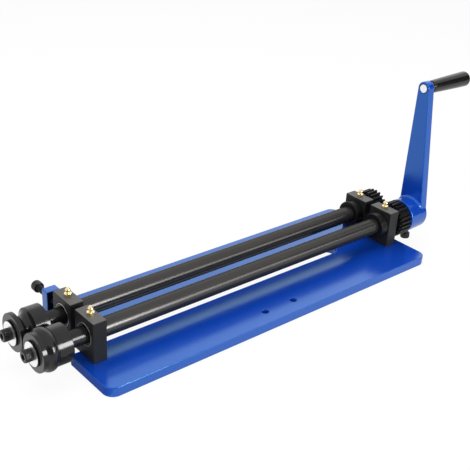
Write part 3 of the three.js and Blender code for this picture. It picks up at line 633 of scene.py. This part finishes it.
brass = pale_brass()
six = hexagon(nipple_across, round_steps)
rim = nipple_across / 2 + 0.0001
neck_top = nipple_hex_height + nipple_neck_height
head_top = neck_top + nipple_head_height
head = softened([
    (nipple_neck, nipple_hex_height), (nipple_neck, neck_top),
    (nipple_head, neck_top + nipple_head_height * 0.28),
    (nipple_head, neck_top + nipple_head_height * 0.5),
    (nipple_tip, head_top), (nipple_ball, head_top), (nipple_ball, head_top - 0.0002)], 0.0006)
ball = arc((0, head_top - 0.0006), nipple_ball, 25, 90, 5)
rings = [np.zeros(round_steps), np.minimum(six, rim), six,
         six, np.minimum(six, rim + 0.0003), np.minimum(six, rim)]
heights = [0, 0, 0.0003,
           nipple_hex_height - 0.0004, nipple_hex_height - 0.00018, nipple_hex_height]
rings += [np.full(round_steps, r) for r in np.concatenate([head[:, 0], ball[:, 0]])]
heights += np.concatenate([head[:, 1], ball[:, 1]]).tolist()
for number, place in enumerate(places):
    node = place + "_grease_nipple"
    seat = middle(node)
    seat.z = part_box(place + "_block")[1].z
    finished([spun(rings, heights, 2, seat, nipple_turn * number)], brass, node)

# Shafts: ground steel bars, blackened and oiled, turned down by a shoulder at each seat. The
# near one runs on through the gear and into the crank.
body_radius = 0.011
journal_radius = 0.01
seat_radius = 0.009
shaft_edge = 0.0004
front_shoulder = -0.2267
rear_shoulder = 0.2267
die_back = -0.268
gear_back = 0.2688
gear_gap = 0.0003
centre_drill = 0.002
drill_point = 0.45
drill_step = 0.0016
drill_depth = 0.0028


def oiled_steel():
    """Blackened ground steel under oil: fine rings from grinding and faint long smears. The
    journals at the die end are painted darker as painted shade between the die and the block."""
    metal = Finish(bpy.data.materials.new("oiled_steel"))
    rings = metal.noise(1.0, 2.0, (2600.0, 12.0, 12.0))
    smear = metal.noise(1.0, 3.0, (14.0, 160.0, 160.0))
    ground = metal.blend(smear, (0.051, 0.0495, 0.048), (0.066, 0.064, 0.062))
    # Painted shade: the journals at the die end are painted darker, for the shade between the die
    # and the block.
    unshaded_body = metal.step(metal.along(0), front_shoulder - 0.0002, front_shoulder)
    colour = metal.blend(unshaded_body, (0.034, 0.034, 0.034), ground)
    return metal.coated({"Base Color": colour, "Metallic": 0.7,
                         "Normal": metal.bump(rings, 0.000002),
                         "Roughness": smear * 0.08 + 0.20, "Specular IOR Level": 0.35,
                         "Specular Tint": (0.3, 0.3, 0.3, 1)})


shaft_steel = oiled_steel()
sides = ("lower", "upper")
for side in sides:
    low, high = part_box(side + "_shaft")
    centre = middle(side + "_shaft")
    end = high.x
    tail = [(journal_radius, end)] if side == "upper" else [
        (journal_radius, gear_back + gear_gap), (seat_radius, gear_back + gear_gap),
        (seat_radius, end)]
    profile = softened([
        (0, low.x), (seat_radius, low.x), (seat_radius, die_back), (journal_radius, die_back),
        (journal_radius, front_shoulder), (body_radius, front_shoulder),
        (body_radius, rear_shoulder), (journal_radius, rear_shoulder), *tail, (centre_drill, end),
        (centre_drill * drill_point, end - drill_step), (0, end - drill_depth)], shaft_edge)
    profile[:, 1] -= centre.x
    finished([turned(profile, 0, centre)], shaft_steel, side + "_shaft")

# Forming dies: a pair of hardened and blackened steel drums, keyed on the ends of the shafts,
# the near one with a raised bead and the far one with the groove that it presses metal into.
die_radius = 0.022
die_bore = 0.0091
die_edge = 0.0007
bead_place = 0.012
bead_height = 0.0025
bead_half = 0.00625
bead_blend = 0.0006
back_step = 0.0004
groove_radius = 0.0066
groove_blend = 0.0004
die_steps = 144


def turned_black(name, axis_centre, dark, pale, roughness, gloss, face=None):
    """Satin black steel with rings from the lathe, drawn by the distance from the axis on the
    faces and by the place along it on the sides. Its front face may be faced bare and paler."""
    metal = Finish(bpy.data.materials.new(name))
    far = radius_from(metal, axis_centre, 0)
    line = metal.node("ShaderNodeCombineXYZ", None, {0: metal.along(0), 1: far, 2: 0.0})
    marks = metal.noise(5200.0, 2.0, at=line)
    cloud = metal.noise(130.0, 4.0)
    colour = metal.blend(cloud * 0.6 + marks * 0.4, dark, pale)
    if face is not None:
        bare = metal.step(metal.along(0), face + 0.0003, face + 0.0001)
        faced = metal.blend(marks, (0.03, 0.03, 0.03), (0.06, 0.06, 0.06))
        colour = metal.blend(bare, colour, faced)
    return metal.coated({"Base Color": colour, "Normal": metal.bump(marks, 0.0000025),
                         "Roughness": cloud * 0.10 + roughness, "Specular IOR Level": gloss})


bead_radius = (bead_half ** 2 + bead_height ** 2) / (2 * bead_height)
bead_angle = math.degrees(math.asin(bead_half / bead_radius))
for side in sides:
    centre = middle(side + "_die")
    centre.z = shaft_height
    low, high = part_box(side + "_die")
    front, back = low.x - centre.x, high.x - centre.x
    forming = front + bead_place
    if side == "lower":
        bead_middle = (die_radius + bead_height - bead_radius, forming)
        form = arc(bead_middle, bead_radius, -bead_angle, bead_angle, 24)
        end = form[-1, 1]
        form = [(die_radius, form[0, 1] - bead_blend), *form,
                (die_radius - back_step, end + 0.0002), (die_radius - back_step, end + 0.0009),
                (die_radius, end + 0.0011)]
    else:
        form = arc((die_radius, forming), groove_radius, 270, 90, 28)
        form = [(die_radius, forming - groove_radius - groove_blend), *form[1:-1],
                (die_radius, forming + groove_radius + groove_blend)]
    first = softened([(die_bore, 0), (die_bore, front), (die_radius, front), form[0]], die_edge)
    last = softened([form[-1], (die_radius, back), (die_bore, back), (die_bore, 0)], die_edge)
    profile = np.concatenate([first, form[1:-1], last])
    die_steel = turned_black(side + "_die_steel", centre, (0.006, 0.006, 0.006),
                             (0.014, 0.014, 0.014), roughness=0.10, gloss=0.34, face=low.x)
    finished([turned(profile, 0, centre, die_steps)], die_steel, side + "_die")

# Die washers: thick zinc plated discs that draw the dies against their shoulders. Their faces
# turn black in a narrow band at the outer edge.
washer_bore = 0.0041
washer_radius = 0.0145
washer_bright_radius = 0.01375
washer_edge = 0.0006
washer_zinc, washer_black = (0.92, 0.93, 0.94), (0.02, 0.02, 0.02)
for side in sides:
    node = side + "_die_washer"
    finish = rimmed(
        node + "_zinc", middle(node), washer_bright_radius, washer_zinc, washer_black, 0.3)
    finished([plain_ring(node, washer_bore, washer_radius, washer_edge)], finish, node)

# Die screws: black oxidised socket head screws with knurled heads, run into the ends of the
# shafts. They clamp the dies through the washers.
shank_radius = 0.004
key_across = 0.006
socket_point = 0.2
knurl_ridges = 48
knurl_depth = 0.00022
thread_pitch = 0.00125
thread_depth = 0.0006
head_round = 0.0008
die_head_length = 0.009


def black_oxide():
    """Black oxide over steel: almost black, slightly oily, paler where handling polishes it."""
    metal = Finish(bpy.data.materials.new("black_oxide"))
    cloud = metal.noise(600.0, 3.0)
    colour = metal.blend(cloud, (0.004, 0.004, 0.004), (0.011, 0.011, 0.011))
    return metal.coated({"Base Color": colour, "Roughness": cloud * 0.16 + 0.20,
                         "Normal": metal.bump(metal.noise(3200.0, 2.0), 0.000008),
                         "Specular IOR Level": 0.3})


def socket_screw(seat, axis, way, head, head_length, shank, length, across, depth, threaded=0.0):
    """A socket head screw with its head's seat at a place and its shank running a given way
    along an axis. Ring by ring from the socket's foot: the hexagon's wall, the top, the
    knurled side whose radius is head - depth |saw|, the seat, and the shank, cut with a
    helix of the thread's pitch where threaded says."""
    count = knurl_ridges * 4
    angle = 2 * np.pi * np.arange(count) / count
    plain = np.ones(count)
    six = hexagon(across, count)
    saw = np.abs(np.mod(angle * knurl_ridges / (2 * np.pi), 1.0) - 0.5) * 2
    ridged = head - knurl_depth * saw
    top = -head_length
    rows = [(0 * plain, top + depth + across * socket_point), (six * 0.98, top + depth),
            (six, top + depth - 0.0002), (six, top + 0.0003),
            (np.maximum(six, plain * across * 0.56) + 0.0001, top)]
    rows += [((head - head_round * (1 - math.sin(a))) * plain - knurl_depth,
              top + head_round * (1 - math.cos(a))) for a in np.linspace(0, math.pi / 2, 5)]
    rows += [(ridged, top + head_round + 0.0004), (ridged, -0.0007),
             (plain * head - knurl_depth, -0.0003), (plain * (head - knurl_depth - 0.0003), 0)]
    rows.append((plain * (shank + 0.0001), 0))
    if threaded:
        along = np.arange(0.0004, threaded, thread_pitch / 8)
        turn = along[:, None] / thread_pitch - way * angle[None, :] / (2 * np.pi)
        wave = np.clip(0.5 + 0.75 * np.cos(2 * np.pi * turn), 0, 1)
        fade = np.clip((along - 0.0004) / 0.001, 0, 1)[:, None]
        rows += list(zip(shank - thread_depth * (1 - wave) * fade, along))
    rows += [(plain * shank, length - 0.0006), (plain * (shank - 0.0006), length),
             (0 * plain, length)]
    return spun([row[0] for row in rows], [way * row[1] for row in rows], axis, seat)


black_screw = black_oxide()
for side in sides:
    low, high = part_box(side + "_die_screw")
    seat = middle(side + "_die_screw")
    seat.x = low.x + die_head_length
    screw = socket_screw(seat, 0, 1, head=0.007, head_length=die_head_length,
                         shank=shank_radius, length=0.022, across=key_across, depth=0.005)
    finished([screw], black_screw, side + "_die_screw")

# Shaft collars: black steel rings against the rear blocks, which keep the shafts from sliding,
# each held by a grub screw from below.
collar_bore = 0.0111
collar_radius = 0.0175
collar_edge = 0.001
grub_across = 0.003
grub_radius = 0.0029
grub_edge = 0.0002
grub_steps = 48
collar_black = turned_black("collar_black", (0, 0, 0), (0.004, 0.004, 0.004),
                            (0.009, 0.009, 0.009), roughness=0.26, gloss=0.13)
for side in sides:
    node = side + "_shaft_collar"
    finished([plain_ring(node, collar_bore, collar_radius, collar_edge)], collar_black, node)
    node = side + "_collar_grub_screw"
    centre = middle(node)
    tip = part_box(node)[1].z - centre.z
    face = -(collar_radius + 0.00005) - (centre.z - shaft_height)
    rows = [(0.0, face + 0.0034), (1.0, face + 0.003), (1.0, face + 0.0001), (1.06, face)]
    six = hexagon(grub_across, grub_steps)
    rings = [six * share for share, _ in rows]
    rings += [np.full(grub_steps, radius)
              for radius in (grub_radius - grub_edge, grub_radius, grub_radius, 0.0)]
    heights = [height for _, height in rows] + [face, face + grub_edge, tip, tip]
    finished([spun(rings, heights, 2, centre)], black_screw, node)

# Gears: a pair of black spur gears of 23 teeth, keyed on the shafts behind the rear blocks.
# Each has a short hub towards its block.
tooth_count = 23
gear_module = 0.002
gear_pitch = gear_module * tooth_count / 2
gear_tip = gear_pitch + gear_module - 0.0007
gear_root = gear_pitch - gear_module - 0.0005
gear_backlash = 0.00045
pressure = math.radians(20)
gear_bore = 0.0101
gear_hub = 0.016
gear_hub_length = 0.0045
gear_edge = 0.0004
hub_edge = 0.0005
keyway_half = 0.0031
keyway_top = 0.0131


def tooth_half_angle(radius):
    """Half a tooth's angle on the involute flank: the half tooth at the pitch circle, plus
    the involute of the pressure angle, minus the involute of the angle at the radius."""
    base = gear_pitch * math.cos(pressure)
    roll = np.arccos(np.minimum(1, base / radius))
    half = np.pi / (2 * tooth_count) - gear_backlash / (4 * gear_pitch)
    return half + math.tan(pressure) - pressure - (np.tan(roll) - roll)


def gear_path(centre, lead):
    """A gear's outline, counter-clockwise: every tooth has a root fillet, two involute flanks
    and a tip with its corners broken."""
    up = np.array([0.0, 0.15, 0.4, 0.8, 1.5, 2.2, 2.9, 3.5, 4.1, 4.35]) / 4.5
    radius = gear_root + (gear_tip - gear_root) * up
    fillet = 0.035 * np.clip(1 - up * 4.5 / 0.8, 0, 1) ** 2
    half = tooth_half_angle(radius) + fillet
    radius = np.append(radius, gear_tip)
    half = np.append(half, half[-1] - 0.008)
    tooth_radius = np.concatenate([radius, radius[::-1]])
    tooth_angle = np.concatenate([-half, half[::-1]])
    angle = lead + 2 * np.pi * np.arange(tooth_count)[:, None] / tooth_count + tooth_angle
    return np.stack([centre[0] + tooth_radius * np.cos(angle),
                     centre[1] + tooth_radius * np.sin(angle)], -1).reshape(-1, 2)


gear_black = turned_black("gear_black", (0, 0, 0), (0.003, 0.003, 0.003),
                          (0.008, 0.008, 0.008), roughness=0.26, gloss=0.20)
for side, lead in (("lower", 0.0), ("upper", math.pi + math.pi / tooth_count)):
    low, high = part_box(side + "_gear")
    y, z = middle(side + "_shaft").y, shaft_height
    web = low.x + gear_hub_length
    ends = math.degrees(math.asin(keyway_half / gear_bore))
    bore = np.concatenate([
        arc((y, z), gear_bore, 90 - ends, 90 + ends - 360, 60),
        [(y - keyway_half, z + keyway_top), (y + keyway_half, z + keyway_top)]])
    bore_wall = [(gear_edge, high.x), (0, high.x - gear_edge), (0, low.x + gear_edge), (0, web)]
    wheel = slab([
        (gear_path((y, z), lead), wall(web, high.x, gear_edge, 2)), (bore, bore_wall)], (1, 2, 0))
    hub = turned(ring_profile(gear_bore, gear_hub, low.x, web + 0.001, hub_edge), 0, (0, y, z))
    finished([wheel, hub], gear_black, side + "_gear")

# Circlip: an open ring of spring steel, snapped into a groove of the far shaft to keep its
# gear on.
clip_inner = 0.0095
clip_outer = 0.0119
clip_opening = 30
clip_steps = 72
clip_edge = 0.00015
low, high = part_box("upper_gear_circlip")
y, z = middle("upper_shaft").y, shaft_height
clip = np.concatenate([
    arc((y, z), clip_outer, clip_opening, 360 - clip_opening, clip_steps),
    arc((y, z), clip_inner, 360 - clip_opening, clip_opening, clip_steps)])
clip_slab = slab([(clip, wall(low.x, high.x, clip_edge, 2))], (1, 2, 0))
finished([clip_slab], black_screw, "upper_gear_circlip")

# Crank: a tapered flat steel arm, rounded at its tip, with a turned boss through its foot that
# slides over the near shaft. The weld over the boss is an ellipse's section carried along an
# arc, with the size of each section falling to nothing at the ends. The paint softens it.
crank_lean = math.radians(3.1)
crank_radius = 0.1805
arm_front = 0.2928
arm_back = 0.3048
arm_hub = 0.0205
arm_tip = 0.0092
arm_edge = 0.0016
eye_edge = 0.0008
boss_front = 0.2703
boss_back = arm_back + 0.0005
boss_front_radius = 0.024
boss_back_radius = 0.0225
boss_bore = 0.0091
boss_hole_gap = 0.005
boss_hole_edge = 0.0006
boss_steps = 128
eye_radius = 0.0061
weld_leg = 0.0048
weld_rise = 0.0034
weld_reach = math.radians(58)
weld_steps = 144
weld_section = 24
axis_y = middle("lower_shaft").y


def leaned(path):
    """A path drawn with the crank upright at the origin, leaned back and put on the shaft."""
    cos, sin = math.cos(crank_lean), math.sin(crank_lean)
    path = np.asarray(path, float)
    return np.stack([axis_y + path[:, 0] * cos + path[:, 1] * sin,
                     shaft_height - path[:, 0] * sin + path[:, 1] * cos], -1)


taper = math.degrees(math.asin((arm_hub - arm_tip) / crank_radius))
arm_path = leaned(np.concatenate([
    arc((0, 0), arm_hub, 180 - taper, 360 + taper, 72),
    arc((0, crank_radius), arm_tip, taper, 180 - taper, 40)]))
eye_wall = [(0, arm_back), (0, arm_front + eye_edge), (eye_edge, arm_front)]
arm = slab([
    (arm_path, wall(arm_front, arm_back, arm_edge, 6)),
    (leaned(hole((0, 0), boss_bore + boss_hole_gap)), wall(arm_front, arm_back, boss_hole_edge)),
    (leaned(hole((0, crank_radius), eye_radius)), eye_wall)], (1, 2, 0))
boss_middle = (boss_front + boss_back) / 2
boss_corners = [
    (boss_bore, boss_middle), (boss_bore, boss_front), (boss_front_radius, boss_front),
    (boss_back_radius, boss_back), (boss_bore, boss_back), (boss_bore, boss_middle)]
boss_rounds = np.array([[0.0008], [0.0012], [0.0032], [0.0008]])
boss = turned(softened(boss_corners, boss_rounds, 6), 0, (0, axis_y, shaft_height), boss_steps)
seam = np.linspace(-weld_reach, weld_reach, weld_steps + 1)[:, None]
tube = 2 * np.pi * np.arange(weld_section) / weld_section
ripple = 1 + 0.03 * np.sin(40 * seam) + 0.05 * np.sin(7 * seam + 1.0)
swell = np.sqrt(1 - (seam / weld_reach) ** 6) * ripple
share = (arm_front - boss_front) / (boss_back - boss_front)
seam_radius = boss_front_radius + (boss_back_radius - boss_front_radius) * share
weld_radius = seam_radius + weld_rise * swell * np.cos(tube)
weld_along = arm_front + weld_leg * swell * np.sin(tube)
turn = np.pi / 2 - crank_lean + seam
weld = np.stack([weld_along, axis_y + weld_radius * np.cos(turn),
                 shaft_height + weld_radius * np.sin(turn)], -1)
finished([arm, boss, (weld.reshape(-1, 3), skin(len(seam), len(tube)))], blue, "crank_arm")

# Crank set screw: a black oxidised socket head screw, run into the boss on the side away from
# the arm, where it grips the shaft.
set_screw_reach = 0.0295
set_screw_x = arm_front - 0.0042
set_screw_foot = leaned([(0, -set_screw_reach)])[0]
tilt = Matrix.Rotation(-crank_lean, 3, "X")
points, quads = socket_screw(
    (0, 0, 0), 2, 1, head=0.0065, head_length=0.008, shank=shank_radius, length=0.0202,
    across=key_across, depth=0.004, threaded=0.008)
points = points @ np.array(tilt.transposed()) + np.array([set_screw_x, *set_screw_foot])
finished([(points, quads)], black_screw, "crank_set_screw")

# Grip spindle: a bright zinc plated pin, riveted over in the arm's tip, with a collar behind
# the arm and a low dome that keeps the grip on.
rivet_radius = 0.006
rivet_dish = 0.0055
pin_collar_radius = 0.0075
pin_collar_end = arm_back + 0.0025
pin_radius = 0.005
dome_radius = 0.0065
grip_y, grip_z = leaned([(0, crank_radius)])[0]
low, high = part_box("handle_spindle")
pin_low, pin_high = low.x, high.x
dome_start = pin_high - 0.003


def bright_zinc(centre):
    """Bright zinc plate, with a dark ring painted round the riveted end as painted shade of the
    gap in the countersink.
    """
    metal = Finish(bpy.data.materials.new("bright_zinc"))
    far = radius_from(metal, centre, 0)
    cloud = metal.noise(300.0, 3.0)
    # Painted shade: a dark ring round the riveted end stands for the shade of the gap in the
    # countersink.
    countersink_shade = metal.step(far, rivet_dish - 0.0001, rivet_dish + 0.0001)
    colour = metal.blend(countersink_shade, (0.88, 0.89, 0.91), (0.30, 0.31, 0.33))
    return metal.coated({"Base Color": colour, "Metallic": 1.0, "Roughness": cloud * 0.15 + 0.24,
                         "Normal": metal.bump(cloud, 0.00001)})


pin = softened([
    (0, pin_low), (rivet_radius - 0.0004, pin_low), (rivet_radius, pin_low + 0.0006),
    (rivet_radius, arm_back + 0.0003), (pin_collar_radius, arm_back + 0.0003),
    (pin_collar_radius, pin_collar_end), (pin_radius, pin_collar_end), (pin_radius, dome_start),
    (dome_radius, dome_start), (dome_radius, dome_start + 0.001),
    (dome_radius * 0.72, dome_start + 0.0025), (0, pin_high)], 0.0005)
finished([turned(pin, 0, (0, grip_y, grip_z))], bright_zinc((0, grip_y, grip_z)), "handle_spindle")

# Grip: a moulded gloss black plastic handle that turns freely on the spindle. Its radius grows
# towards the rounded end with the 0.8th power of the way along, and a little fuller between.
grip_bore = 0.0053
grip_front_radius = 0.0085
grip_swell = 0.00198
grip_end_round = 0.005
grip_steps = 128


def gloss_black():
    """Moulded gloss black plastic, very slightly rippled."""
    plastic = Finish(bpy.data.materials.new("gloss_black"))
    ripple = plastic.noise(70.0, 2.0)
    colour = plastic.blend(ripple, (0.005, 0.005, 0.005), (0.009, 0.009, 0.008))
    return plastic.coated({"Base Color": colour, "Roughness": ripple * 0.08 + 0.15,
                           "Normal": plastic.bump(ripple, 0.00015), "Specular IOR Level": 0.4})


low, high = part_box("handle_grip")
length = high.x - low.x
share = np.linspace(0, 1, 25)
radius = grip_front_radius + grip_swell * share ** 0.8 * (1 + 0.04 * np.sin(np.pi * share))
flank = np.column_stack([radius, low.x + 0.001 + share * (length - 0.006)])
end_centre = (grip_front_radius + grip_swell - grip_end_round, high.x - grip_end_round)
end = arc(end_centre, grip_end_round, 0, 90, 8)
body = np.concatenate([
    softened([(grip_bore, low.x + length / 2), (grip_bore, low.x), (0.0079, low.x), flank[0]],
             0.0008),
    flank[1:], end[1:],
    softened([end[-1], (grip_bore, high.x), (grip_bore, low.x + length / 2)], 0.0002)[1:]])
finished([turned(body, 0, (0, grip_y, grip_z), grip_steps)], gloss_black(), "handle_grip")

# Adjusting screw: a long socket head screw through the bracket, with a turned nose that seats
# in the back of the far front block. Turning it sets the distance between the dies.
low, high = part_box("adjusting_screw")
centre = middle("adjusting_screw")
nose_length = 0.0038
nose_radius = 0.003
nose_steps = 48
adjuster_head = 0.009
adjuster_seat = high.y - adjuster_head
screw = socket_screw(
    (centre.x, adjuster_seat, shaft_height), 1, -1, head=0.0065, head_length=adjuster_head,
    shank=shank_radius, length=adjuster_seat - low.y - nose_length,
    across=key_across, depth=0.004, threaded=0.036)
nose_root = low.y + nose_length + 0.001
nose_profile = softened([
    (0, low.y), (nose_radius, low.y), (nose_radius, nose_root), (0, nose_root)], 0.0003)
nose = turned(nose_profile, 1, (centre.x, 0, shaft_height), nose_steps)
finished([screw, nose], black_screw, "adjusting_screw")


# Screws under the plate: flush socket screws that hold the near blocks, the large one that the
# far rear block swings on, and the low head screw and washer that clamp the far front block.
def flush_screw(foot, top, head, shank, across, depth):
    """A countersunk screw, its flat at foot: socket, flat, lip, cone, shank."""
    plain = np.ones(round_steps)
    six = hexagon(across, round_steps)
    lip = shank / 6
    rows = [(0 * plain, depth + across * socket_point), (six, depth), (six, 0.0002),
            (six * 1.05, 0), (plain * (head - 0.0004), 0), (plain * head, 0.0003),
            (plain * head, lip), (plain * shank, lip + head - shank),
            (plain * shank, top - foot.z), (0 * plain, top - foot.z)]
    return spun([row[0] for row in rows], [row[1] for row in rows], 2, foot)


for node, head, shank, across, depth in (
        *((node, 0.0059, 0.0029, 0.004, 0.0025) for node in lower_screws),
        ("upper_rear_pivot_screw", 0.0089, 0.0049, 0.006, 0.003)):
    low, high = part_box(node)
    foot = middle(node)
    foot.z = low.z
    finished([flush_screw(foot, high.z, head, shank, across, depth)], black_screw, node)

low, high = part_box("upper_front_clamp_screw")
seat = middle("upper_front_clamp_screw")
clamp_head_length = 0.0044
seat.z = low.z + clamp_head_length
screw = socket_screw(seat, 2, 1, head=0.007, head_length=clamp_head_length, shank=shank_radius,
                     length=high.z - seat.z, across=0.005, depth=0.0026)
finished([screw], black_screw, "upper_front_clamp_screw")
clamp_washer_radius = 0.008
clamp_washer_edge = 0.0002


def dull_zinc():
    """Zinc plate, slightly clouded."""
    metal = Finish(bpy.data.materials.new("dull_zinc"))
    cloud = metal.noise(400.0, 3.0)
    return metal.coated({"Base Color": metal.blend(cloud, (0.62, 0.63, 0.65), (0.8, 0.81, 0.83)),
                         "Metallic": 1.0, "Roughness": cloud * 0.2 + 0.3,
                         "Normal": metal.bump(cloud, 0.00001)})


clamp_washer = plain_ring(
    "upper_front_clamp_washer", washer_bore, clamp_washer_radius, clamp_washer_edge, axis=2)
finished([clamp_washer], dull_zinc(), "upper_front_clamp_washer")

# Keys: short square bars of bright steel, half in the shaft and half in the die or gear. Their
# shape in the frame is right, so they only get their finish.
for node in ("lower_die_key", "upper_die_key", "lower_gear_key", "upper_gear_key"):
    for holder in frame["nodes"][node].material_slots:
        holder.material = shaft_steel
